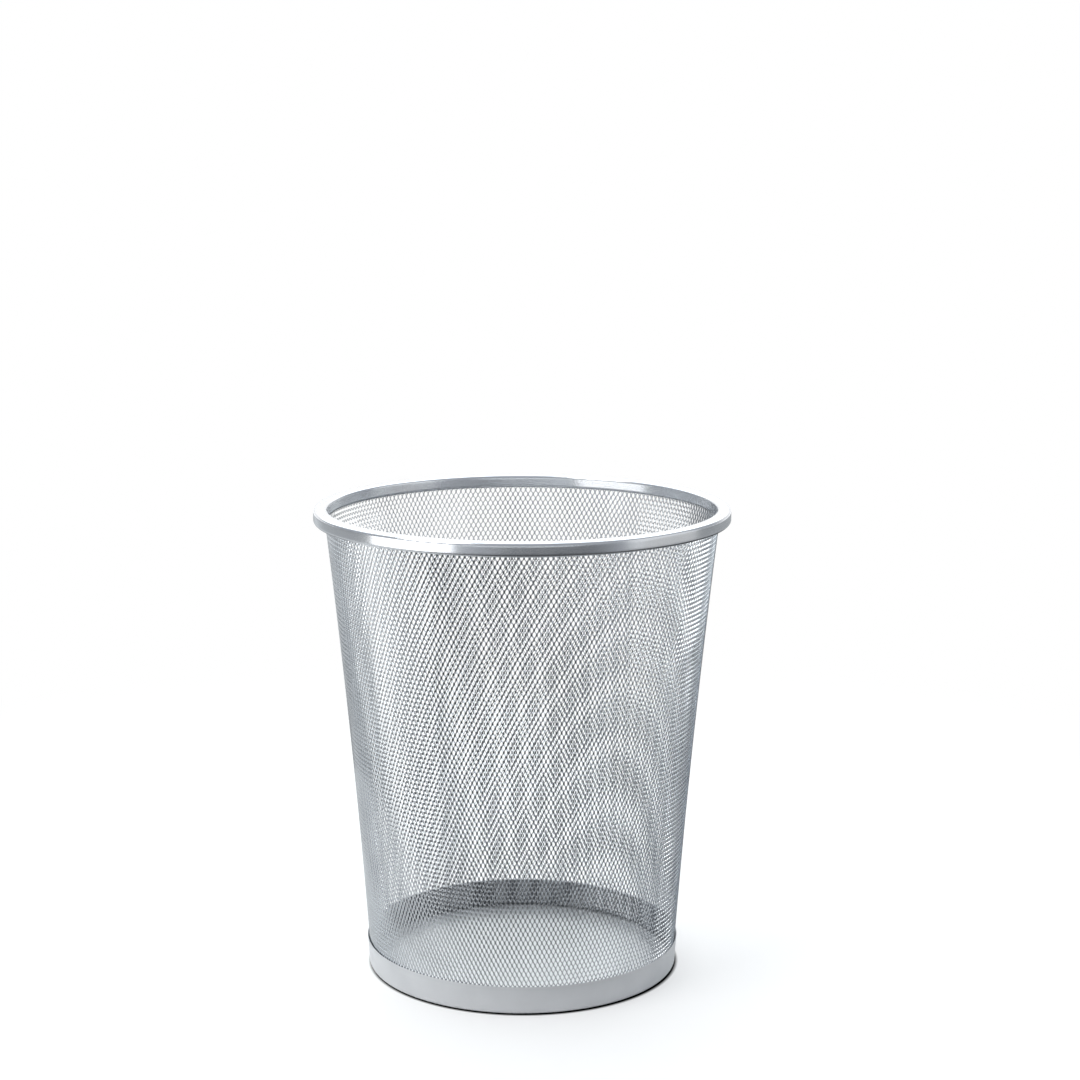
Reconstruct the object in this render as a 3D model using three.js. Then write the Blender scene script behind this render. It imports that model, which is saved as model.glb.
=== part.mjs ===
// A round office wastebasket of expanded steel mesh: a rolled rim, a flared mesh wall and a pressed pan.
// Millimetres, +Z up. The origin is the centre of the basket's footprint on the floor.

import * as THREE from "three";

// Overall form
const HEIGHT = 330;
const RIM_DIAMETER = 290;
const FOOT_DIAMETER = 217.4;
const WALL_BOW = 2;

// Rolled rim
const RIM_WIDTH = 9.8;
const RIM_OUTER_DEPTH = 9.6;
const RIM_INNER_DEPTH = 8.6;
const RIM_TOP_RADIUS = 2.4;
const RIM_LIP_RADIUS = 1.8;
const RIM_SHEET = 0.6;

// Expanded mesh: diamonds between bonds, and strands that lie aslant in the wall
const MESH_COLUMNS = 34;
const MESH_HALF_ROWS = 15;
const MESH_SHEET = 0.6;
const STRAND_SLANT = 0.4;
const BOND_WIDTH = 4.4;
const BOND_HEIGHT = 9;

// Pressed pan
const BAND_HEIGHT = 19.8;
const BAND_CORNER_RADIUS = 2.4;
const PAN_SHEET = 0.8;
const FOOT_RING_WIDTH = 9;
const PANEL_RISE = 1.6;
const PANEL_SLOPE = 5;

// Clearance left between pieces that are crimped or welded together
const SEAT_GAP = 0.3;

// Facets of everything that is turned, so that the flats of all pieces line up
const FACETS = 2 * MESH_COLUMNS;
const CORNER_STEPS = 2;
const HIDDEN_CORNER_STEPS = 1;

const RIM_RADIUS = RIM_DIAMETER / 2;
const FOOT_RADIUS = FOOT_DIAMETER / 2;
const MESH_THICKNESS = MESH_SHEET + STRAND_SLANT;
const MESH_BOTTOM = BAND_CORNER_RADIUS + SEAT_GAP;
const MESH_TOP = HEIGHT - RIM_SHEET - SEAT_GAP;

// Where the mesh enters the rim: at the foot of the rim's inner wall, just outside it
const SEAT_HEIGHT = HEIGHT - RIM_INNER_DEPTH;
const SEAT_RADIUS = RIM_RADIUS - RIM_WIDTH + RIM_SHEET + SEAT_GAP + MESH_THICKNESS;

const steelRim = new THREE.MeshStandardMaterial({ color: 0xc6c9cd, roughness: 0.22, metalness: 1 });
const steelMesh = new THREE.MeshStandardMaterial({ color: 0xb6babf, roughness: 0.42, metalness: 0.85 });
const paintedPan = new THREE.MeshStandardMaterial({ color: 0xbabdc2, roughness: 0.45, metalness: 0.7 });

// Outer radius of the mesh at height z: a cone from foot to rim seat, drawn in a little at half height.
function wallRadius(z) {
  const share = (z - MESH_BOTTOM) / (SEAT_HEIGHT - MESH_BOTTOM);
  const straight = THREE.MathUtils.lerp(FOOT_RADIUS, SEAT_RADIUS, share);
  return straight - 4 * WALL_BOW * share * (1 - share);
}

// Points of a rounded corner of a profile, from one angle to another in degrees.
function corner(centreRadius, centreHeight, radius, fromAngle, toAngle, steps) {
  const from = THREE.MathUtils.degToRad(fromAngle);
  const to = THREE.MathUtils.degToRad(toAngle);
  const arc = new THREE.EllipseCurve(centreRadius, centreHeight, radius, radius, from, to, to < from);
  return arc.getPoints(steps);
}

// A solid of revolution about Z from a profile of (radius, height) points.
function turned(profile) {
  const geometry = new THREE.LatheGeometry(profile, FACETS);
  geometry.rotateX(Math.PI / 2);
  return geometry;
}

// One face of the rolled rim strip, inset from the rim's outside: up the inner wall, over the top, down the
// outer wall and round the lip, which ends just outside the mesh.
function rimFace(inset, steps) {
  const inside = RIM_RADIUS - RIM_WIDTH + RIM_TOP_RADIUS;
  const outside = RIM_RADIUS - RIM_TOP_RADIUS;
  const crown = HEIGHT - RIM_TOP_RADIUS;
  const lipCentre = RIM_RADIUS - RIM_LIP_RADIUS;
  const underside = HEIGHT - RIM_OUTER_DEPTH;
  const lipEnd = wallRadius(underside + RIM_SHEET) + SEAT_GAP;
  return [
    new THREE.Vector2(inside - RIM_TOP_RADIUS + inset, SEAT_HEIGHT),
    ...corner(inside, crown, RIM_TOP_RADIUS - inset, 180, 90, steps),
    ...corner(outside, crown, RIM_TOP_RADIUS - inset, 90, 0, steps),
    ...corner(lipCentre, underside + RIM_LIP_RADIUS, RIM_LIP_RADIUS - inset, 0, -90, steps),
    new THREE.Vector2(lipEnd, underside + inset),
  ];
}

function rimRing() {
  const outerFace = rimFace(0, CORNER_STEPS);
  const innerFace = rimFace(RIM_SHEET, HIDDEN_CORNER_STEPS).reverse();
  const profile = [...outerFace, ...innerFace, outerFace[0].clone()];
  return turned(profile.reverse());
}

// A point of the mesh sheet: at a bond's column and half row, moved across and up by millimetres, and sunk
// by a depth below the wall's outer surface.
function meshPoint(column, halfRow, across, up, depth) {
  const halfRowHeight = (MESH_TOP - MESH_BOTTOM - BOND_HEIGHT) / MESH_HALF_ROWS;
  const z = MESH_BOTTOM + BOND_HEIGHT / 2 + halfRow * halfRowHeight + up;
  const radius = wallRadius(z);
  const stagger = (halfRow % 2) / 2;
  const turn = ((column + stagger) * 2 * Math.PI) / MESH_COLUMNS + across / radius;
  const reach = radius - depth;
  return [reach * Math.cos(turn), reach * Math.sin(turn), z];
}

// The expanded mesh as one solid. Each bond has a top, right, bottom and left corner on both faces. A strand
// runs from the upper edges of a bond to the lower edges of the two bonds above it, and its top edge lies
// further out than its bottom edge.
function meshWall() {
  const positions = [];
  const index = [];
  const corners = [
    { across: 0, up: BOND_HEIGHT / 2, depth: 0 },
    { across: BOND_WIDTH / 2, up: 0, depth: STRAND_SLANT / 2 },
    { across: 0, up: -BOND_HEIGHT / 2, depth: STRAND_SLANT },
    { across: -BOND_WIDTH / 2, up: 0, depth: STRAND_SLANT / 2 },
  ];
  const [TOP, RIGHT, BOTTOM, LEFT] = corners.keys();

  for (let halfRow = 0; halfRow <= MESH_HALF_ROWS; halfRow++) {
    for (let column = 0; column < MESH_COLUMNS; column++) {
      for (const sheet of [0, MESH_SHEET]) {
        for (const { across, up, depth } of corners) {
          positions.push(...meshPoint(column, halfRow, across, up, depth + sheet));
        }
      }
    }
  }

  // Number of a bond's corner on the outer face; the inner face follows it.
  const INNER = corners.length;
  function vertex(column, halfRow, cornerNumber) {
    const wrapped = (column + MESH_COLUMNS) % MESH_COLUMNS;
    return (halfRow * MESH_COLUMNS + wrapped) * 2 * INNER + cornerNumber;
  }

  function quad(a, b, c, d) {
    index.push(a, b, c, a, c, d);
  }

  // Both faces of a patch whose outer corners run counter-clockwise seen from outside.
  function patch(a, b, c, d) {
    quad(a, b, c, d);
    quad(d + INNER, c + INNER, b + INNER, a + INNER);
  }

  // The cut edge of the sheet along a patch's side.
  function edge(a, b) {
    quad(a, a + INNER, b + INNER, b);
  }

  for (let halfRow = 0; halfRow <= MESH_HALF_ROWS; halfRow++) {
    const stagger = halfRow % 2;
    for (let column = 0; column < MESH_COLUMNS; column++) {
      const [top, right, bottom, left] = corners.map((_, k) => vertex(column, halfRow, k));
      patch(top, left, bottom, right);
      if (halfRow === 0) {
        edge(left, bottom);
        edge(bottom, right);
      }
      if (halfRow === MESH_HALF_ROWS) {
        edge(right, top);
        edge(top, left);
        continue;
      }
      const rightBond = column + stagger;
      const rightLow = vertex(rightBond, halfRow + 1, BOTTOM);
      const rightHigh = vertex(rightBond, halfRow + 1, LEFT);
      patch(top, right, rightLow, rightHigh);
      edge(right, rightLow);
      edge(rightHigh, top);
      const leftBond = rightBond - 1;
      const leftLow = vertex(leftBond, halfRow + 1, BOTTOM);
      const leftHigh = vertex(leftBond, halfRow + 1, RIGHT);
      patch(left, top, leftHigh, leftLow);
      edge(top, leftHigh);
      edge(leftLow, left);
    }
  }

  const geometry = new THREE.BufferGeometry();
  geometry.setAttribute("position", new THREE.Float32BufferAttribute(positions, 3));
  geometry.setIndex(index);
  return geometry;
}

// One face of the pan's pressed sheet, lifted above the floor: from the centre of its raised panel, down to
// the foot ring it stands on, round the corner and up the band outside the mesh.
function panFace(lift) {
  const bandSheet = PAN_SHEET - lift;
  const bandTop = wallRadius(BAND_HEIGHT) + SEAT_GAP + bandSheet;
  const bandFoot = wallRadius(BAND_CORNER_RADIUS) + SEAT_GAP + PAN_SHEET - BAND_CORNER_RADIUS;
  const ringInside = bandFoot - FOOT_RING_WIDTH;
  return [
    new THREE.Vector2(0, PANEL_RISE + lift),
    new THREE.Vector2(ringInside - PANEL_SLOPE, PANEL_RISE + lift),
    new THREE.Vector2(ringInside, lift),
    ...corner(bandFoot, BAND_CORNER_RADIUS, BAND_CORNER_RADIUS - lift, -90, 0, CORNER_STEPS),
    new THREE.Vector2(bandTop, BAND_HEIGHT),
  ];
}

function basePan() {
  const underside = panFace(0);
  const upperSide = panFace(PAN_SHEET).reverse();
  return turned([...underside, ...upperSide]);
}

function piece(name, geometry, material) {
  const mesh = new THREE.Mesh(geometry, material);
  mesh.name = name;
  return mesh;
}

const wastebasket = new THREE.Group();
wastebasket.add(
  piece("rim_ring", rimRing(), steelRim),
  piece("mesh_wall", meshWall(), steelMesh),
  piece("base_pan", basePan(), paintedPan),
);

export default wastebasket;
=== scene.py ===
# %% [markdown]
# # An office wastebasket of silver steel mesh
# The basket is three pieces of steel: a rolled rim, a flared wall of expanded mesh and a pressed pan.
# The solids that come from the frame fix every size and place. This lesson dresses them: each piece is
# worked out again as a finer surface, in metres, in the same frame, with +Z up and the floor at zero.

# %% The frame
import math

import bpy
import numpy as np
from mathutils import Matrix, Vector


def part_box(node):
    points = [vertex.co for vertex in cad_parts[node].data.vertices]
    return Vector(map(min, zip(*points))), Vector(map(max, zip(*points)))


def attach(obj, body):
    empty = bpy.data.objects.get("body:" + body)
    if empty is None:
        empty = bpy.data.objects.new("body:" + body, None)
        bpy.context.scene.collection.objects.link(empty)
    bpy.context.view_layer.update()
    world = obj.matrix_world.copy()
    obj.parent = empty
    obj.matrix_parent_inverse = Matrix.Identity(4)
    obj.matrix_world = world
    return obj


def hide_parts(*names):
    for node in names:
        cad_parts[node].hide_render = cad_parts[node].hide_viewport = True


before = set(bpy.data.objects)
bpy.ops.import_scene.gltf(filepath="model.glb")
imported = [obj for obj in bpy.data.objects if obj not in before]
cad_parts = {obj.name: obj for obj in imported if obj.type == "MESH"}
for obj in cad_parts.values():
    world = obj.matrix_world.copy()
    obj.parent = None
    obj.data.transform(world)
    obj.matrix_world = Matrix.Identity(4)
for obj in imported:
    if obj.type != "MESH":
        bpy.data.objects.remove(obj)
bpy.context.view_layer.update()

MM = 0.001
print("frame nodes:", sorted(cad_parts))

# %% [markdown]
# ## The camera
# The rim and the base are circles, so their ellipses in a picture tell where the camera stood: about a
# metre and a half away, a little above the rim and tipped down by ten degrees. The basket stands a few
# pixels left of the middle, and a small lens shift gives that without turning the camera.

# %% Camera
IMAGE_SIDE = 1080
SENSOR_WIDTH = 36
FOCAL_PIXELS = 2265.9
AXIS_COLUMN = 522.2
CAMERA_DISTANCE = 1.5547
CAMERA_HEIGHT = 0.5931
CAMERA_TIP = math.radians(10.49)

camera_data = bpy.data.cameras.new("camera")
camera_data.sensor_width = SENSOR_WIDTH
camera_data.lens = SENSOR_WIDTH * FOCAL_PIXELS / IMAGE_SIDE
camera_data.shift_x = (IMAGE_SIDE / 2 - AXIS_COLUMN) / IMAGE_SIDE
camera = bpy.data.objects.new("camera", camera_data)
camera.location = (0, -CAMERA_DISTANCE, CAMERA_HEIGHT)
camera.rotation_euler = (math.pi / 2 - CAMERA_TIP, 0, 0)
bpy.context.scene.collection.objects.link(camera)
bpy.context.scene.camera = camera
print("lens, mm:", round(camera_data.lens, 2))

# %% [markdown]
# ## Sizes taken from the frame
# The rim's box gives the outside radius and the height, and the pan's box gives the height of the band
# round the foot. What the boxes can't give, such as sheet thicknesses, is named here in millimetres.

# %% Sizes
rim_low, rim_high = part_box("rim_ring")
_, pan_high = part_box("base_pan")
HEIGHT = rim_high.z
RIM_RADIUS = rim_high.x
RIM_UNDERSIDE = rim_low.z
BAND_TOP = pan_high.z

RIM_WIDTH = 9.8 * MM
RIM_INNER_DEPTH = 8.6 * MM
RIM_TOP_RADIUS = 2.4 * MM
RIM_LIP_RADIUS = 1.8 * MM
RIM_SHEET = 0.6 * MM
SEAT_GAP = 0.3 * MM
PAN_SHEET = 0.8 * MM
BAND_CORNER_RADIUS = 2.4 * MM
FOOT_RING_WIDTH = 9 * MM
PANEL_RISE = 1.6 * MM
PANEL_SLOPE = 5 * MM

WALL_FOOT_RADIUS = 108.7 * MM
WALL_BOW = 2 * MM
MESH_THICKNESS = 1 * MM
WALL_FOOT = BAND_CORNER_RADIUS + SEAT_GAP
SEAT_HEIGHT = HEIGHT - RIM_INNER_DEPTH
SEAT_RADIUS = RIM_RADIUS - RIM_WIDTH + RIM_SHEET + SEAT_GAP + MESH_THICKNESS


def wall_radius(z):
    """Outside radius of the mesh at height z: a straight cone from foot to rim, less a parabola that is
    zero at both ends and WALL_BOW deep at half height."""
    share = (z - WALL_FOOT) / (SEAT_HEIGHT - WALL_FOOT)
    straight = WALL_FOOT_RADIUS + (SEAT_RADIUS - WALL_FOOT_RADIUS) * share
    return straight - 4 * WALL_BOW * share * (1 - share)


print("rim radius and height, mm:", round(RIM_RADIUS / MM, 1), round(HEIGHT / MM, 1))
print("wall radius at foot and seat, mm:", round(wall_radius(WALL_FOOT) / MM, 1), round(SEAT_RADIUS / MM, 1))

# %% [markdown]
# ## From arrays to pieces
# Every piece is worked out as whole arrays of points and faces. This helper puts the arrays straight into a
# mesh, ties the piece to the basket's one body, and hides the solid it stands for.

# %% Arrays to a piece
SIDES_OF_QUAD = 4


def make_piece(name, points, face_groups, material, node):
    """A piece from points (n, 3) and groups of faces, each group an array (faces, corners per face)."""
    mesh = bpy.data.meshes.new(name)
    sizes = np.concatenate([np.full(len(faces), faces.shape[1]) for faces in face_groups])
    corners = np.concatenate([faces.ravel() for faces in face_groups])
    starts = np.cumsum(sizes) - sizes
    mesh.vertices.add(len(points))
    mesh.vertices.foreach_set("co", points.astype(np.float32).ravel())
    mesh.loops.add(len(corners))
    mesh.loops.foreach_set("vertex_index", corners.astype(np.int32))
    mesh.polygons.add(len(sizes))
    mesh.polygons.foreach_set("loop_start", starts.astype(np.int32))
    mesh.update(calc_edges=True)
    mesh.materials.append(material)
    piece = bpy.data.objects.new(name, mesh)
    bpy.context.scene.collection.objects.link(piece)
    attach(piece, "root")
    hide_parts(node)
    triangles = int((sizes - 2).sum())
    print(name, "has", len(points), "points and", triangles, "triangles")
    return piece


# %% [markdown]
# ## Finishes
# All three pieces are silver, but not alike. The rim is bright rolled steel that mirrors the room a
# little blurred. The mesh and the pan carry a silver lacquer with fine metal flake, so they are softer.
# Each finish mixes two close tones by a noise in Object coordinates and roughens by another.


# %% Finish helper
CLOUD_SCALE = 45
CLOUD_DETAIL = 4
FLAKE_DETAIL = 2
TONE_REACH = (0.3, 0.7)


def silver(name, dark, light, metallic, roughness, spread, grain, bump):
    """A silver finish: colour runs between two tones with a soft noise, roughness swings by spread about
    its mean, and a finer noise of size grain lifts the surface by bump metres."""
    material = bpy.data.materials.new(name)
    material.use_nodes = True
    nodes, links = material.node_tree.nodes, material.node_tree.links
    shader = nodes["Principled BSDF"]
    shader.inputs["Metallic"].default_value = metallic

    place = nodes.new("ShaderNodeTexCoord")
    cloud = nodes.new("ShaderNodeTexNoise")
    cloud.inputs["Scale"].default_value = CLOUD_SCALE
    cloud.inputs["Detail"].default_value = CLOUD_DETAIL
    links.new(place.outputs["Object"], cloud.inputs["Vector"])

    tone = nodes.new("ShaderNodeValToRGB")
    for element, position, colour in zip(tone.color_ramp.elements, TONE_REACH, (dark, light)):
        element.position = position
        element.color = (*colour, 1)
    links.new(cloud.outputs["Fac"], tone.inputs["Fac"])
    links.new(tone.outputs["Color"], shader.inputs["Base Color"])

    flake = nodes.new("ShaderNodeTexNoise")
    flake.inputs["Scale"].default_value = 1 / grain
    flake.inputs["Detail"].default_value = FLAKE_DETAIL
    links.new(place.outputs["Object"], flake.inputs["Vector"])

    gloss = nodes.new("ShaderNodeMapRange")
    gloss.inputs["To Min"].default_value = roughness - spread
    gloss.inputs["To Max"].default_value = roughness + spread
    links.new(flake.outputs["Fac"], gloss.inputs["Value"])
    links.new(gloss.outputs["Result"], shader.inputs["Roughness"])

    lift = nodes.new("ShaderNodeBump")
    lift.inputs["Strength"].default_value = 1
    lift.inputs["Distance"].default_value = bump
    links.new(flake.outputs["Fac"], lift.inputs["Height"])
    links.new(lift.outputs["Normal"], shader.inputs["Normal"])
    return material


# %% The three finishes
rim_steel = silver("bright_rim_steel", (0.79, 0.81, 0.84), (0.85, 0.87, 0.9), metallic=1, roughness=0.19,
                   spread=0.03, grain=0.9 * MM, bump=2e-6)
mesh_lacquer = silver("mesh_silver_lacquer", (0.66, 0.68, 0.7), (0.74, 0.76, 0.78), metallic=1,
                      roughness=0.13, spread=0.03, grain=0.6 * MM, bump=4e-6)
pan_paint = silver("satin_pan_paint", (0.77, 0.782, 0.796), (0.83, 0.842, 0.856), metallic=0.5,
                   roughness=0.3, spread=0.04, grain=0.5 * MM, bump=3e-6)
for finish in (rim_steel, mesh_lacquer, pan_paint):
    print(finish.name, "has", len(finish.node_tree.nodes), "nodes")

# %% [markdown]
# ## The rolled rim
# The rim starts as a flat steel strip. Rollers fold it into a channel: an inner wall inside the basket, a
# rounded top, an outer wall and a lip that curls under to meet the mesh. One profile is swept round the
# axis, so it is enough to draw the strip's section once, with arcs for the bends.


# %% Profiles and sweeps
BEND_STEPS = 10
RUN_STEPS = 4


def arc(centre_radius, centre_height, radius, start, end, steps=BEND_STEPS):
    """Points of a round bend: centre plus radius at angles that run evenly from start to end, degrees."""
    angles = np.radians(np.linspace(start, end, steps + 1))
    return np.column_stack([centre_radius + radius * np.cos(angles), centre_height + radius * np.sin(angles)])


def straight(start, end, steps=RUN_STEPS):
    """Points that run evenly between two ends of a straight run, without the ends themselves."""
    share = np.linspace(0, 1, steps + 2)[1:-1, None]
    return (1 - share) * np.asarray(start) + share * np.asarray(end)


def sweep_round(profile, turns):
    """A closed profile (radius, height) carried round the axis: point (i, j) is profile j turned by the
    angle of step i, and each face joins two steps and two neighbours of the profile."""
    angles = np.linspace(0, 2 * np.pi, turns, endpoint=False)[:, None]
    radius, height = profile[:, 0][None, :], profile[:, 1][None, :]
    points = np.stack([radius * np.cos(angles), radius * np.sin(angles), height + 0 * angles], axis=-1)
    grid = np.arange(turns * len(profile)).reshape(turns, len(profile))
    ahead = np.roll(grid, -1, axis=0)
    above = np.roll(grid, -1, axis=1)
    both = np.roll(ahead, -1, axis=1)
    faces = np.stack([grid, ahead, both, above], axis=-1).reshape(-1, SIDES_OF_QUAD)
    return points.reshape(-1, 3), faces


# %% Rim
TURN_STEPS = 288


def rim_face(inset):
    """One face of the strip, inset from the rim's outside: the inner wall, the two top bends, the outer
    wall, the lip's bend and the lip, which ends just clear of the mesh."""
    inner_wall = RIM_RADIUS - RIM_WIDTH + inset
    inside = RIM_RADIUS - RIM_WIDTH + RIM_TOP_RADIUS
    outside = RIM_RADIUS - RIM_TOP_RADIUS
    crown = HEIGHT - RIM_TOP_RADIUS
    lip_end = wall_radius(RIM_UNDERSIDE + RIM_SHEET) + SEAT_GAP
    top_bend_in = arc(inside, crown, RIM_TOP_RADIUS - inset, 180, 90)
    top_bend_out = arc(outside, crown, RIM_TOP_RADIUS - inset, 90, 0)
    lip_centre = RIM_RADIUS - RIM_LIP_RADIUS
    lip_bend = arc(lip_centre, RIM_UNDERSIDE + RIM_LIP_RADIUS, RIM_LIP_RADIUS - inset, 0, -90)
    start = np.array([[inner_wall, SEAT_HEIGHT]])
    end = np.array([[lip_end, RIM_UNDERSIDE + inset]])
    return np.concatenate([
        start, straight(start[0], top_bend_in[0]), top_bend_in,
        straight(top_bend_in[-1], top_bend_out[0]), top_bend_out,
        straight(top_bend_out[-1], lip_bend[0]), lip_bend,
        straight(lip_bend[-1], end[0]), end,
    ])


rim_profile = np.concatenate([rim_face(0), rim_face(RIM_SHEET)[::-1]])[::-1]
rim_points, rim_faces = sweep_round(rim_profile, TURN_STEPS)
rim = make_piece("rim_ring_rolled", rim_points, [rim_faces], rim_steel, "rim_ring")
rim.data.shade_smooth()

# %% [markdown]
# ## The pressed pan
# The pan is drawn from one sheet: a floor with a raised panel, a foot ring that it stands on, a round
# corner and a band that leans out with the mesh. Its profile runs under the sheet and back over it, and
# both ends lie on the axis, where a fan of triangles closes the middle.


# %% Pan
PANEL_STEPS = 5
SLOPE_POINTS = 9
BAND_STEPS = 8
SHARP_ANGLE = math.radians(35)


def pan_face(lift):
    """One face of the sheet, lifted above its underside: panel, slope, foot ring, corner and band. The
    slope's height eases in and out, by three times the square of its share less twice the cube."""
    band_top = wall_radius(BAND_TOP) + SEAT_GAP + PAN_SHEET - lift
    band_foot = wall_radius(BAND_CORNER_RADIUS) + SEAT_GAP + PAN_SHEET - BAND_CORNER_RADIUS
    ring_inside = band_foot - FOOT_RING_WIDTH
    panel_edge = np.array([ring_inside - PANEL_SLOPE, PANEL_RISE + lift])
    slope_foot = np.array([ring_inside, lift])
    bend = arc(band_foot, BAND_CORNER_RADIUS, BAND_CORNER_RADIUS - lift, -90, 0)
    top = np.array([band_top, BAND_TOP - lift])
    share = np.linspace(0, 1, SLOPE_POINTS)
    ease = share * share * (3 - 2 * share)
    slope = np.column_stack([
        panel_edge[0] + (slope_foot[0] - panel_edge[0]) * share,
        panel_edge[1] + (slope_foot[1] - panel_edge[1]) * ease,
    ])
    return np.concatenate([
        straight([0, PANEL_RISE + lift], panel_edge, PANEL_STEPS), slope,
        straight(slope_foot, bend[0]), bend,
        straight(bend[-1], top, BAND_STEPS), top[None, :],
    ])


def sweep_with_floor(profile, turns):
    """As sweep_round, but the profile is open and its ends are joined to two points on the axis by fans."""
    points, faces = sweep_round(profile, turns)
    row = len(profile)
    faces = faces[np.arange(len(faces)) % row != row - 1]
    first = np.arange(turns) * row
    last = first + row - 1
    below, above = len(points), len(points) + 1
    middle = [[0, 0, profile[0, 1]], [0, 0, profile[-1, 1]]]
    under_fan = np.column_stack([np.full(turns, below), np.roll(first, -1), first])
    upper_fan = np.column_stack([np.full(turns, above), last, np.roll(last, -1)])
    return np.concatenate([points, middle]), [faces, under_fan, upper_fan]


pan_profile = np.concatenate([pan_face(0), pan_face(PAN_SHEET)[::-1]])
pan_points, pan_faces = sweep_with_floor(pan_profile, TURN_STEPS)
pan = make_piece("base_pan_pressed", pan_points, pan_faces, pan_paint, "base_pan")
pan.data.shade_smooth()
pan.data.set_sharp_from_angle(angle=SHARP_ANGLE)

# %% [markdown]
# ## Behind the mesh
# The inside of the pan's band lies behind the mesh, in the shade between mesh and band, and that shade is
# painted into the pan's finish as a dark colour. A mask painted by hand would do, but the profile already
# knows which of its points lie there, so the share of painted shade is a value on each point.

# %% Painted shade inside the band
# A dark colour of painted shade for the inside of the band, and the radii over which it comes in.
BAND_SHADE_COLOUR = (0.13, 0.137, 0.15)
BAND_SHADE_REACH = (103 * MM, 107 * MM)

inner_radius = pan_face(PAN_SHEET)[::-1, 0]
band_shade_share = np.clip((inner_radius - BAND_SHADE_REACH[0]) / (BAND_SHADE_REACH[1] - BAND_SHADE_REACH[0]), 0, 1)
profile_share = np.concatenate([np.zeros(len(pan_profile) - len(band_shade_share)), band_shade_share])
point_share = np.concatenate([np.tile(profile_share, TURN_STEPS), [0, 0]])
band_shade_attribute = pan.data.attributes.new("painted_band_shade", "FLOAT", "POINT")
band_shade_attribute.data.foreach_set("value", point_share.astype(np.float32))


def paint_in_shade(material, attribute, colour):
    """Where an attribute of the piece's points rises from 0 to 1, the finish passes to the given colour, here
    a dark colour of painted shade."""
    nodes, links = material.node_tree.nodes, material.node_tree.links
    shader = nodes["Principled BSDF"]
    painted = shader.inputs["Base Color"].links[0].from_socket
    share = nodes.new("ShaderNodeAttribute")
    share.attribute_name = attribute
    mix = nodes.new("ShaderNodeMix")
    mix.data_type = "RGBA"
    mix.inputs["B"].default_value = (*colour, 1)
    links.new(share.outputs["Fac"], mix.inputs["Factor"])
    links.new(painted, mix.inputs["A"])
    links.new(mix.outputs["Result"], shader.inputs["Base Color"])


# Paint the shade inside the band into the pan's finish; the count printed below is of points in that painted
# shade.
paint_in_shade(pan_paint, "painted_band_shade", BAND_SHADE_COLOUR)
print("points of bare steel:", int((point_share > 0.5).sum()))

# %% [markdown]
# ## The expanded mesh
# Expanded metal is a sheet that is slit in staggered rows and pulled open. Where slits end, short bonds
# stay, and thin strands run between them, narrowest at half their length. The pull also turns each bond and
# strand a little out of the sheet, so one side of the basket shows their faces and the other their edges.
# Strands drawn as separate tubes would not join. Instead every bond has six corners on each face of the
# sheet, and a strand is two faces that run from the upper corners of one bond, through a waist, to the
# lower corners of a bond above it. The wall is made in sectors, so that no piece grows too heavy.

# %% Mesh layout
MESH_COLUMNS = 224
MESH_PITCH = 6.45 * MM
MESH_LEAN = -1.49e-4 / MM
MESH_FOOT = 1.6 * MM
MESH_TOP = HEIGHT - RIM_SHEET - 2 * SEAT_GAP
BOND_TIP = 1.0 * MM
BOND_SIDE = 0.5 * MM
BOND_WIDTH = 1.1 * MM
STRAND_NECK = 0.5
STRAND_SHEET = 0.45 * MM
STRAND_TILT = 0.36
MESH_SECTORS = 8

half_rows = int((MESH_TOP - MESH_FOOT - 2 * BOND_TIP) / (MESH_PITCH / 2))
print("mesh openings:", MESH_COLUMNS * (half_rows - 1))

# %% Corners of a bond and waists of its strands
BOND_CORNERS = 6
CORNERS = 10
TIP, LEFT_HIGH, LEFT_LOW, FOOT, RIGHT_LOW, RIGHT_HIGH = range(BOND_CORNERS)
RIGHT_TOP, RIGHT_UNDER, LEFT_TOP, LEFT_UNDER = range(BOND_CORNERS, CORNERS)

waist_across = STRAND_NECK * BOND_WIDTH / 4
waist_up = STRAND_NECK * (BOND_TIP - BOND_SIDE) / 2
corner_across = np.array([0, -1, -1, 0, 1, 1]) * BOND_WIDTH / 2
corner_up = np.array([BOND_TIP, BOND_SIDE, -BOND_SIDE, -BOND_TIP, -BOND_SIDE, BOND_SIDE])
across = np.concatenate([corner_across, np.array([-1, 1, 1, -1]) * waist_across])
up = np.concatenate([corner_up, np.array([1, -1, 1, -1]) * waist_up])
row_shift = np.repeat([0, 0.5], [BOND_CORNERS, CORNERS - BOND_CORNERS])
column_shift = np.repeat([0, 0.25, -0.25], [BOND_CORNERS, 2, 2])
print("waist of a strand, mm:", round(2 * math.hypot(waist_across, waist_up) / MM, 2))


def bond_corners(columns):
    """Points of all bonds in these columns, as (half rows, columns, faces, corners, xyz): six corners of
    the bond, and the upper and lower edge of its two rising strands at their waists. An angle is the
    column's share of a turn, half a column more on odd rows, plus a lean with height; a waist lies halfway
    to the next bond. Every point sinks below the wall's radius by a slope times its place across, so the
    right side lies deeper, and the inner face lies one sheet thickness further in."""
    rows = np.arange(half_rows + 1)[:, None, None, None]
    columns = np.asarray(columns)[None, :, None, None]
    face = np.array([0, 1])[None, None, :, None]
    z = MESH_FOOT + BOND_TIP + (rows + row_shift) * MESH_PITCH / 2 + up + 0 * columns + 0 * face
    radius = wall_radius(z)
    turn = (columns + (rows % 2) / 2 + column_shift) * 2 * np.pi / MESH_COLUMNS
    angle = turn + MESH_LEAN * z + across / radius
    sink = STRAND_TILT * (across + BOND_WIDTH / 2)
    reach = radius - sink - STRAND_SHEET * face
    return np.stack([reach * np.cos(angle), reach * np.sin(angle), z], axis=-1)


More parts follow.
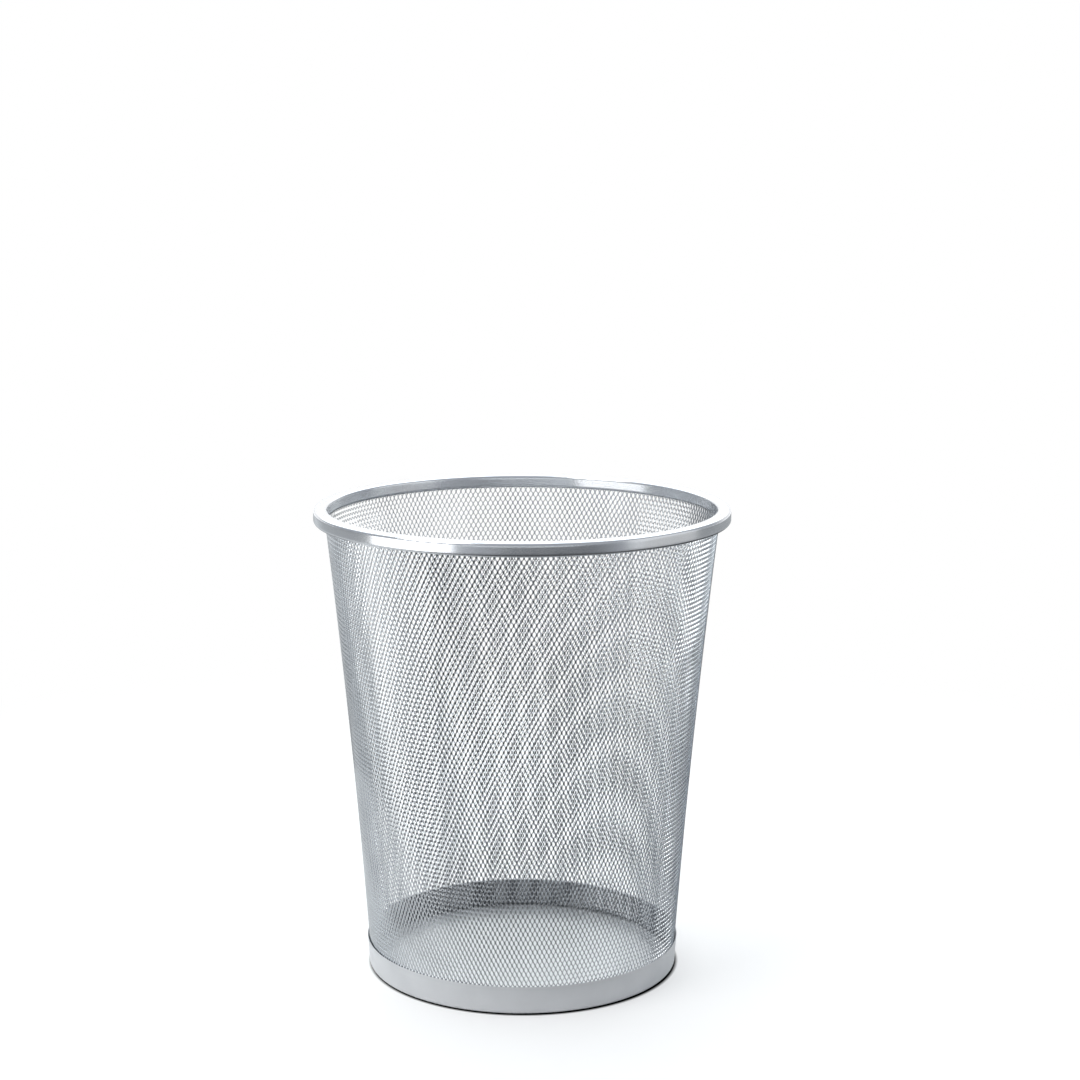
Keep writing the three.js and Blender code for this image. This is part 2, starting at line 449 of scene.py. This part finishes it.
# %% [markdown]
# ## Joining bonds and strands
# A sector is a run of columns with all their bonds. Its faces are arrays of corner numbers, so the bonds of
# a whole sector are joined at once: each bond to the two above it, on the outer and the inner face of the
# sheet, with cut edges between the faces. Where a sector ends, its strands are closed by a small wall, so
# every sector is a closed solid of its own.


# %% Mesh faces
def mesh_sector(first, count):
    """Points and faces of count columns from first. Bonds are hexagons and strands four-sided, on both
    faces; a wall joins the two faces along every free edge, and along each edge where the sector is cut."""
    columns = np.arange(first - 1, first + count + 1)
    points = bond_corners(columns)
    number = np.arange(points[..., 0].size).reshape(points.shape[:-1])
    inner = CORNERS
    own = number[:, 1:-1, 0]
    odd = (np.arange(half_rows + 1) % 2 == 1)[:, None]
    place = np.arange(1, count + 1)[None, :]

    def neighbour(rise, side):
        """Outer corner numbers of the bonds one half row up (1) or down (-1), to the right (1) or left (0),
        and whether each lies outside the sector."""
        column = place + np.where(odd, side, side - 1)
        row = np.arange(half_rows + 1)[:, None] + rise
        return number[np.clip(row, 0, half_rows), column, 0], (column < 1) | (column > count)

    def patch(*corners):
        """Faces through these corners on the outer face, and the same turned round on the inner face."""
        outer = np.stack(corners, axis=-1).reshape(-1, len(corners))
        return [outer, outer[:, ::-1] + inner]

    def wall(start, end, where=None):
        """Cut edges of the sheet from start to end, from the outer face to the inner, all or some."""
        quad = np.stack([start, start + inner, end + inner, end], axis=-1)
        return quad[where] if where is not None else quad.reshape(-1, SIDES_OF_QUAD)

    hexagons = patch(*[own[..., k] for k in range(BOND_CORNERS)])
    quads = [wall(own[..., LEFT_HIGH], own[..., LEFT_LOW]), wall(own[..., RIGHT_LOW], own[..., RIGHT_HIGH])]
    up_right, right_cut = neighbour(1, 1)
    up_left, left_cut = neighbour(1, 0)

    lower = own[:-1]
    right_cut, left_cut = right_cut[:-1], left_cut[:-1]
    up_right, up_left = up_right[:-1], up_left[:-1]
    right_top, right_under = lower[..., RIGHT_TOP], lower[..., RIGHT_UNDER]
    left_top, left_under = lower[..., LEFT_TOP], lower[..., LEFT_UNDER]
    quads += patch(lower[..., TIP], lower[..., RIGHT_HIGH], right_under, right_top)
    quads += patch(right_under, up_right[..., FOOT], up_right[..., LEFT_LOW], right_top)
    quads += patch(lower[..., LEFT_HIGH], lower[..., TIP], left_top, left_under)
    quads += patch(left_top, up_left[..., RIGHT_LOW], up_left[..., FOOT], left_under)
    quads += [
        wall(lower[..., RIGHT_HIGH], right_under), wall(right_under, up_right[..., FOOT]),
        wall(up_right[..., LEFT_LOW], right_top), wall(right_top, lower[..., TIP]),
        wall(lower[..., TIP], left_top), wall(left_top, up_left[..., RIGHT_LOW]),
        wall(up_left[..., FOOT], left_under), wall(left_under, lower[..., LEFT_HIGH]),
        wall(up_right[..., FOOT], up_right[..., LEFT_LOW], right_cut),
        wall(up_left[..., RIGHT_LOW], up_left[..., FOOT], left_cut),
    ]

    row = np.arange(half_rows + 1)[:, None] + 0 * place
    bottom, top = row == 0, row == half_rows
    _, from_left_cut = neighbour(-1, 0)
    _, from_right_cut = neighbour(-1, 1)
    quads += [
        wall(own[..., LEFT_LOW], own[..., FOOT], bottom | from_left_cut),
        wall(own[..., FOOT], own[..., RIGHT_LOW], bottom | from_right_cut),
        wall(own[..., TIP], own[..., LEFT_HIGH], top),
        wall(own[..., RIGHT_HIGH], own[..., TIP], top),
    ]
    groups = [np.concatenate(hexagons), np.concatenate(quads)]
    used = np.unique(np.concatenate([g.ravel() for g in groups]))
    return points.reshape(-1, 3)[used], [np.searchsorted(used, g) for g in groups]


# %% Mesh pieces
sector_columns = MESH_COLUMNS // MESH_SECTORS
for sector in range(MESH_SECTORS):
    sector_points, sector_faces = mesh_sector(sector * sector_columns, sector_columns)
    sheet_part = make_piece(f"mesh_wall_{sector + 1}", sector_points, sector_faces, mesh_lacquer, "mesh_wall")
    sheet_part.data.shade_flat()

# %% [markdown]
# ## The floor
# The basket stands on a pale sheet. One flat face is enough, because its edges lie outside the picture. It
# stops a little way in front of the basket, and from there on the steel mirrors the room.

# %% Floor
FLOOR_HALF = 6.0
FLOOR_FRONT = -0.8
floor_mesh = bpy.data.meshes.new("studio_floor")
floor_corners = [(-FLOOR_HALF, FLOOR_FRONT, 0), (FLOOR_HALF, FLOOR_FRONT, 0)]
floor_corners += [(FLOOR_HALF, FLOOR_HALF, 0), (-FLOOR_HALF, FLOOR_HALF, 0)]
floor_mesh.from_pydata(floor_corners, [], [(0, 1, 2, 3)])
floor = bpy.data.objects.new("studio_floor", floor_mesh)
bpy.context.scene.collection.objects.link(floor)
print("floor, metres:", 2 * FLOOR_HALF, "wide and", FLOOR_HALF - FLOOR_FRONT, "deep")

# %% [markdown]
# ## The floor's finish
# Bright steel looks like what it mirrors, so the floor has one set of tones for the steel and another for the
# camera. Mirrored, it carries painted light and shade: a painted ring of light close to the base, painted
# shade further out, and painted light towards the left. To the camera it is white: near the basket a matt
# tone that keeps the shadow, lifted by a glow, and further off the glow alone at a strength of one. Where the
# base stands on the floor, a little more at the front and right, tone and glow are both left out, a painted
# shadow that shows as a thin dark line. Ramps by distance give all of this.

# %% Floor finish
# These stops paint light and shade onto the floor as the steel mirrors it: a ring of painted light close to
# the base that falls to painted shade further out, a painted pool of light left of the base, and painted
# light that grows towards the left.
RING_WIDTH = 1.2
RING_STOPS = [(0.13, 0.7), (0.16, 0.38), (0.2, 0.2), (0.3, 0.14), (0.5, 0.08), (0.85, 0.06), (1.2, 0.36)]
LIGHT_POOL_CENTRE = (-0.2, 0.06, 0)
LIGHT_POOL_WIDTH = 0.5
LIGHT_POOL_STOPS = [(0.26, 0.6), (0.35, 0)]
LEFT_SIDE = (-1, 0, 0)
LEFT_WIDTH = 1.5
LEFT_STOPS = [(0.12, 0), (0.3, 0.13), (0.45, 0.26), (0.6, 0.42), (0.9, 0.6), (1.3, 0.36)]
REAR_SIDE = (0, 1, 0)
REAR_REACH = (1.9, 2.5)
FLOOR_ROUGHNESS = 0.7
CAMERA_TONE = 0.62
LIFT_REACH = (0.3, 0.9)
LIFT_NEAR = 0.41
# A painted shadow where the base stands: a thin ring round this centre, set a little to the front and right,
# where the floor's camera tone and glow both fall to nothing.
PAINTED_BASE_SHADOW_CENTRE = (0.0007, -0.0015, 0)
PAINTED_BASE_SHADOW_REACH = (0.1085, 0.112)

floor_material = bpy.data.materials.new("white_sheet")
floor_material.use_nodes = True
nodes, links = floor_material.node_tree.nodes, floor_material.node_tree.links
floor_shader = nodes["Principled BSDF"]
floor_shader.inputs["Roughness"].default_value = FLOOR_ROUGHNESS
floor_shader.inputs["Specular IOR Level"].default_value = 0
floor_shader.inputs["Emission Color"].default_value = (1, 1, 1, 1)
floor_place = nodes.new("ShaderNodeTexCoord")
ray = nodes.new("ShaderNodeLightPath")


def measure(operation, *vectors):
    """A node that measures the floor's place: its length, its distance from a point or its reach along a
    direction."""
    node = nodes.new("ShaderNodeVectorMath")
    node.operation = operation
    links.new(floor_place.outputs["Object"], node.inputs[0])
    for number, vector in enumerate(vectors):
        node.inputs[number + 1].default_value = vector
    return node.outputs["Value"]


def ramp_by(source, reach, tones):
    """A node that runs smoothly from one tone to another as a measured value crosses a reach."""
    node = nodes.new("ShaderNodeMapRange")
    node.interpolation_type = "SMOOTHSTEP"
    node.inputs["From Min"].default_value, node.inputs["From Max"].default_value = reach
    node.inputs["To Min"].default_value, node.inputs["To Max"].default_value = tones
    links.new(source, node.inputs["Value"])
    return node.outputs["Result"]


def joined(operation, first, second):
    """A node that joins two values by an operation such as MULTIPLY or MAXIMUM."""
    node = nodes.new("ShaderNodeMath")
    node.operation = operation
    links.new(first, node.inputs[0])
    links.new(second, node.inputs[1])
    return node.outputs["Value"]


def graded(source, width, stops, tint=(1, 1, 1)):
    """A colour ramp node over a measured value that runs from 0 to width, with (place, tone) stops, each
    tone times a tint."""
    share = ramp_by(source, (0, width), (0, 1))
    share.node.interpolation_type = "LINEAR"
    ramp = nodes.new("ShaderNodeValToRGB")
    elements = ramp.color_ramp.elements
    elements.remove(elements[1])
    elements[0].position = stops[0][0] / width
    for stop, _ in stops[1:]:
        elements.new(stop / width)
    for element, (_, tone) in zip(elements, stops):
        element.color = (*(tone * part for part in tint), 1)
    links.new(share, ramp.inputs["Fac"])
    return ramp.outputs["Color"]


from_axis = measure("LENGTH")
from_pool = measure("DISTANCE", LIGHT_POOL_CENTRE)
to_left = measure("DOT_PRODUCT", LEFT_SIDE)
to_rear = measure("DOT_PRODUCT", REAR_SIDE)
# Painted light and shade on the floor for mirrored rays: the pool, the light towards the left and the ring,
# whichever is lightest.
painted_light_pool = graded(from_pool, LIGHT_POOL_WIDTH, LIGHT_POOL_STOPS)
left_light = joined("MAXIMUM", painted_light_pool, graded(to_left, LEFT_WIDTH, LEFT_STOPS))
shade = joined("MAXIMUM", graded(from_axis, RING_WIDTH, RING_STOPS), left_light)
# Zero inside the painted shadow ring at the base, one outside it.
outside_painted_base_shadow = ramp_by(measure("DISTANCE", PAINTED_BASE_SHADOW_CENTRE), PAINTED_BASE_SHADOW_REACH, (0, 1))
tone = nodes.new("ShaderNodeMix")
tone.data_type = "FLOAT"
camera_tone = joined("MULTIPLY", ramp_by(from_axis, LIFT_REACH, (CAMERA_TONE, 0)), outside_painted_base_shadow)
links.new(camera_tone, tone.inputs["B"])
links.new(ray.outputs["Is Camera Ray"], tone.inputs["Factor"])
links.new(shade, tone.inputs["A"])
links.new(tone.outputs["Result"], floor_shader.inputs["Base Color"])

lift = joined("MULTIPLY", ramp_by(from_axis, LIFT_REACH, (LIFT_NEAR, 1)), outside_painted_base_shadow)
to_camera = joined("MULTIPLY", lift, ray.outputs["Is Camera Ray"])
mirrored = joined("MAXIMUM", ray.outputs["Is Glossy Ray"], ray.outputs["Is Transmission Ray"])
to_metal = joined("MULTIPLY", ramp_by(to_rear, REAR_REACH, (0, 1)), mirrored)
links.new(joined("MAXIMUM", to_camera, to_metal), floor_shader.inputs["Emission Strength"])
floor_mesh.materials.append(floor_material)
print("floor finish has", len(nodes), "nodes")

# %% [markdown]
# ## The lamps
# Five soft lamps light the basket at a plain level: a low softbox and a higher key on the left, a weak warm
# panel on the right, a broad light above and behind, and a low strip in front, which the inside of the back
# wall mirrors. They are area lamps, because bright steel shows the shape of a lamp.


# %% Lamps
def soft_lamp(name, place, target, width, height, brightness, colour):
    """A rectangular lamp at a place, turned to face a target. Its power is the brightness of its face
    times its area times pi, which is what a matt glowing sheet gives off."""
    data = bpy.data.lights.new(name, "AREA")
    data.shape = "RECTANGLE"
    data.size, data.size_y = width, height
    data.energy = brightness * width * height * math.pi
    data.color = colour
    lamp = bpy.data.objects.new(name, data)
    lamp.location = place
    direction = np.asarray(target) - np.asarray(place)
    yaw = math.atan2(direction[0], direction[1])
    tip = math.atan2(direction[2], math.hypot(direction[0], direction[1]))
    lamp.rotation_euler = (math.pi / 2 + tip, 0, -yaw)
    bpy.context.scene.collection.objects.link(lamp)
    print(name, "gives", round(data.energy, 1), "watts")


soft_lamp("left_softbox", (-1.13, -0.65, 0.17), (0, 0, 0.17), 1.16, 0.34, 1.8, (1, 0.99, 0.97))
soft_lamp("left_key", (-1.2, -0.8, 1.6), (0, 0, 0.1), 0.9, 0.9, 5, (1, 0.99, 0.97))
soft_lamp("right_panel", (1.5, -0.25, 0.62), (0, 0, 0.62), 1.4, 1.2, 0.4, (1, 0.98, 0.95))
soft_lamp("top_softbox", (-0.2, 1.1, 2.0), (0, 0, 0.2), 3.8, 3.4, 1.5, (0.93, 0.98, 1))
soft_lamp("front_panel", (0, -2.6, 0.185), (0, 0, 0.185), 3.2, 0.17, 1.4, (0.97, 0.99, 1))

# %% [markdown]
# ## The room
# The world is the room that the steel mirrors beyond the floor: dim behind the camera and a little to its
# right, lighter at the sides, dark below, with a white backdrop behind the basket. The camera itself sees
# plain white. Blends by direction are enough for shapes as simple as these.

# %% World
DIM_TURN = math.radians(15)
DIM_SIDE = (math.sin(DIM_TURN), -math.cos(DIM_TURN), 0)
ROOM_STOPS = [(0, 0.46), (0.12, 0.42), (0.22, 0.28), (0.5, 0.45), (0.8, 0.5)]
ROOM_STOPS += [(0.9, 0.34), (0.95, 0.2), (0.98, 0.14)]
ROOM_TINT = (0.95, 1, 1.07)
FLOOR_EDGE = (-0.32, -0.2)
FLOOR_DARK = (0.05, 0.052, 0.056, 1)
HORIZON = (-0.14, 0.0)
ROOM_ABOVE = (0.38, 0.4, 0.43, 1)
BACKDROP_EDGE = (0.6, 0.92)
BACKDROP = (1, 1, 1, 1)

world = bpy.data.worlds.new("studio")
bpy.context.scene.world = world
world.use_nodes = True
# The ramp helpers add to these nodes and links, so from here on they build the world.
nodes, links = world.node_tree.nodes, world.node_tree.links
direction = nodes.new("ShaderNodeTexCoord")
axes = nodes.new("ShaderNodeSeparateXYZ")
links.new(direction.outputs["Generated"], axes.inputs["Vector"])
facing = nodes.new("ShaderNodeVectorMath")
facing.operation = "DOT_PRODUCT"
facing.inputs[1].default_value = DIM_SIDE
links.new(direction.outputs["Generated"], facing.inputs[0])
facing_share = ramp_by(facing.outputs["Value"], (-1, 1), (0, 1))
facing_share.node.interpolation_type = "LINEAR"
room = graded(facing_share, 1, ROOM_STOPS, ROOM_TINT)


def blend(share, below, above):
    """A node that passes from one colour to another with a share from 0 to 1."""
    mix = nodes.new("ShaderNodeMix")
    mix.data_type = "RGBA"
    links.new(share, mix.inputs["Factor"])
    for socket, colour in (("A", below), ("B", above)):
        if isinstance(colour, tuple):
            mix.inputs[socket].default_value = colour
        else:
            links.new(colour, mix.inputs[socket])
    return mix.outputs["Result"]


ray = nodes.new("ShaderNodeLightPath")
lower = blend(ramp_by(axes.outputs["Z"], FLOOR_EDGE, (0, 1)), FLOOR_DARK, room)
upper = blend(ramp_by(axes.outputs["Z"], HORIZON, (0, 1)), lower, ROOM_ABOVE)
behind = blend(ramp_by(axes.outputs["Y"], BACKDROP_EDGE, (0, 1)), upper, BACKDROP)
seen = blend(ray.outputs["Is Camera Ray"], behind, BACKDROP)
links.new(seen, nodes["Background"].inputs["Color"])
print("world has", len(nodes), "nodes")
bpy.context.scene.view_settings.view_transform = "Standard"
